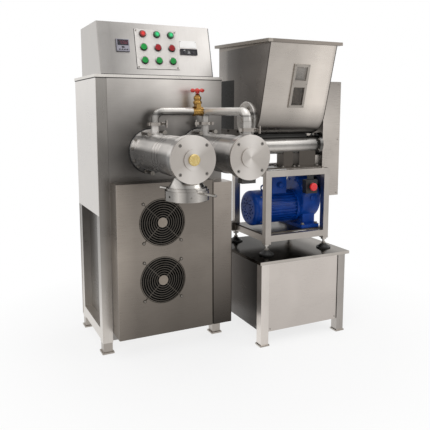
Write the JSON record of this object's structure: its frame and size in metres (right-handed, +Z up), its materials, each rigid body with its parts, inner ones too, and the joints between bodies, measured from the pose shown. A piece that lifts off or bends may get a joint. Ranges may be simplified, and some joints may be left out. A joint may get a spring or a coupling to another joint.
{
  "type": "vermicelli machine",
  "caption": "Stainless rice-noodle extruder: cabinet with control box and twin screw barrels, die head, transfer pipe with gate valve, and a motor-driven feed hopper on a stand.",
  "frame": {"origin": "centre of the footprint, on the floor", "axes": "+X to the hopper side, +Y to the cabinet's back, +Z up"},
  "size_m": [1.183, 0.9644, 1.455],
  "materials": {
    "sheet": "satin stainless sheet",
    "frame_steel": "satin stainless tube",
    "polished": "polished stainless",
    "turned": "turned stainless face",
    "fastener": "plain bolt",
    "brass": "cast brass",
    "wheel_red": "red enamel",
    "motor_blue": "blue enamel",
    "black_plastic": "matt black",
    "black_wire": "black painted wire",
    "green_plastic": "green cap",
    "red_plastic": "red cap",
    "lamp_plastic": "clear coloured lens",
    "white_sheet": "pale plate",
    "cast": "painted casting",
    "rubber": "black pad",
    "pane": "clear pane"
  },
  "bodies": {
    "base": {"cabinet_frame": "frame_steel", "floor_feet": "frame_steel", "cabinet_top": "sheet", "cabinet_panels": "sheet", "front_panel": "sheet", "fan_cover": "sheet", "side_cover": "sheet", "fan_guards": "black_wire", "fan_frames": "black_plastic", "control_box": "sheet", "button_plate": "white_sheet", "indicator_lamps": "lamp_plastic", "button_bezels": "polished", "temperature_controller": "black_plastic", "blank_plates": "white_sheet", "left_barrel": "polished", "right_barrel": "polished", "end_covers": "turned", "centre_plug": "brass", "barrel_bolts": "fastener", "screw_drives": "cast", "die_neck": "polished", "left_pipe": "polished", "right_pipe": "polished", "pipe_clamps": "polished", "valve_body": "brass", "feed_tube": "polished", "hopper_shell": "sheet", "window_frame": "sheet", "window_glass": "pane", "shaft_bearings": "polished", "chain_guard": "sheet", "drive_chains": "fastener", "motor_housing": "motor_blue", "gear_case": "motor_blue", "motor_frame": "frame_steel", "motor_feet": "rubber", "stop_box": "black_plastic", "table_top": "sheet", "stand_frame": "frame_steel", "stand_panels": "sheet"},
    "upper_fan_rotor_body": {"upper_fan_rotor": "black_plastic"},
    "lower_fan_rotor_body": {"lower_fan_rotor": "black_plastic"},
    "left_screw_body": {"left_screw": "turned"},
    "right_screw_body": {"right_screw": "turned"},
    "die_plate_body": {"die_plate": "turned"},
    "die_ring_body": {"die_ring": "polished"},
    "valve_gate_body": {"valve_gate": "brass"},
    "valve_wheel_body": {"valve_wheel": "wheel_red"},
    "feed_screw_body": {"feed_screw": "turned"},
    "agitator_body": {"agitator": "turned"},
    "output_sprocket_body": {"output_sprocket": "fastener"},
    "motor_rotor_body": {"motor_rotor": "black_plastic"},
    "stop_button_body": {"stop_button": "red_plastic"},
    "start_button_body": {"start_button": "green_plastic"},
    "stop_push_1_body": {"stop_push_1": "red_plastic"},
    "stop_push_2_body": {"stop_push_2": "red_plastic"},
    "run_button_1_body": {"run_button_1": "green_plastic"},
    "run_button_2_body": {"run_button_2": "green_plastic"},
    "run_button_3_body": {"run_button_3": "green_plastic"}
  },
  "joints": [
    {"name": "start_button_press", "type": "slide", "parent": "base", "child": "start_button_body", "axis": [0, 0.9704, -0.2415], "range_m": [0, 0.004], "stiffness_N_per_m": 400, "springref_m": -0.002},
    {"name": "stop_push_1_press", "type": "slide", "parent": "base", "child": "stop_push_1_body", "axis": [0, 0.9704, -0.2415], "range_m": [0, 0.004], "stiffness_N_per_m": 400, "springref_m": -0.002},
    {"name": "stop_push_2_press", "type": "slide", "parent": "base", "child": "stop_push_2_body", "axis": [0, 0.9704, -0.2415], "range_m": [0, 0.004], "stiffness_N_per_m": 400, "springref_m": -0.002},
    {"name": "run_button_1_press", "type": "slide", "parent": "base", "child": "run_button_1_body", "axis": [0, 0.9704, -0.2415], "range_m": [0, 0.004], "stiffness_N_per_m": 400, "springref_m": -0.002},
    {"name": "run_button_2_press", "type": "slide", "parent": "base", "child": "run_button_2_body", "axis": [0, 0.9704, -0.2415], "range_m": [0, 0.004], "stiffness_N_per_m": 400, "springref_m": -0.002},
    {"name": "run_button_3_press", "type": "slide", "parent": "base", "child": "run_button_3_body", "axis": [0, 0.9704, -0.2415], "range_m": [0, 0.004], "stiffness_N_per_m": 400, "springref_m": -0.002},
    {"name": "emergency_stop_press", "type": "slide", "parent": "base", "child": "stop_button_body", "axis": [0, 1, 0], "range_m": [0, 0.005]},
    {"name": "valve_wheel_turn", "type": "hinge", "parent": "base", "child": "valve_wheel_body", "pos_m": [-0.1525, 0.0172, 1.166], "axis": [0, 0, 1], "range_deg": [0, 2520]},
    {"name": "valve_gate_lift", "type": "slide", "parent": "base", "child": "valve_gate_body", "axis": [0, 0, 1], "range_m": [0, 0.028]},
    {"name": "die_drop", "type": "slide", "parent": "base", "child": "die_plate_body", "axis": [0, 0, -1], "range_m": [0, 0.024]},
    {"name": "die_ring_turn", "type": "hinge", "parent": "die_plate_body", "child": "die_ring_body", "pos_m": [-0.3515, -0.3288, 0.745], "axis": [0, 0, -1], "range_deg": [0, 2160]},
    {"name": "upper_fan_spin", "type": "hinge", "parent": "base", "child": "upper_fan_rotor_body", "pos_m": [-0.3365, -0.0168, 0.598], "axis": [0, 1, 0], "continuous": true},
    {"name": "lower_fan_spin", "type": "hinge", "parent": "base", "child": "lower_fan_rotor_body", "pos_m": [-0.3365, -0.0168, 0.34], "axis": [0, 1, 0], "continuous": true},
    {"name": "left_screw_spin", "type": "hinge", "parent": "base", "child": "left_screw_body", "pos_m": [-0.3515, 0.0812, 0.901], "axis": [0, 1, 0], "continuous": true},
    {"name": "right_screw_spin", "type": "hinge", "parent": "base", "child": "right_screw_body", "pos_m": [-0.1145, 0.0812, 0.901], "axis": [0, 1, 0], "continuous": true},
    {"name": "motor_spin", "type": "hinge", "parent": "base", "child": "motor_rotor_body", "pos_m": [0.1465, 0.0912, 0.604], "axis": [1, 0, 0], "continuous": true},
    {"name": "output_spin", "type": "hinge", "parent": "base", "child": "output_sprocket_body", "pos_m": [0.4015, 0.0912, 0.706], "axis": [1, 0, 0], "continuous": true},
    {"name": "feed_screw_spin", "type": "hinge", "parent": "base", "child": "feed_screw_body", "pos_m": [0.4735, 0.0112, 0.915], "axis": [1, 0, 0], "continuous": true},
    {"name": "agitator_spin", "type": "hinge", "parent": "base", "child": "agitator_body", "pos_m": [0.0955, 0.0112, 1.035], "axis": [1, 0, 0], "continuous": true}
  ],
  "couplings": [
    {"joint": "valve_gate_lift", "follows": "valve_wheel_turn", "m_per_rad": 0.00063662},
    {"joint": "die_drop", "follows": "die_ring_turn", "m_per_rad": 0.00063662},
    {"joint": "output_spin", "follows": "motor_spin", "ratio": 0.05},
    {"joint": "feed_screw_spin", "follows": "motor_spin", "ratio": 0.05},
    {"joint": "agitator_spin", "follows": "motor_spin", "ratio": 0.05}
  ]
}
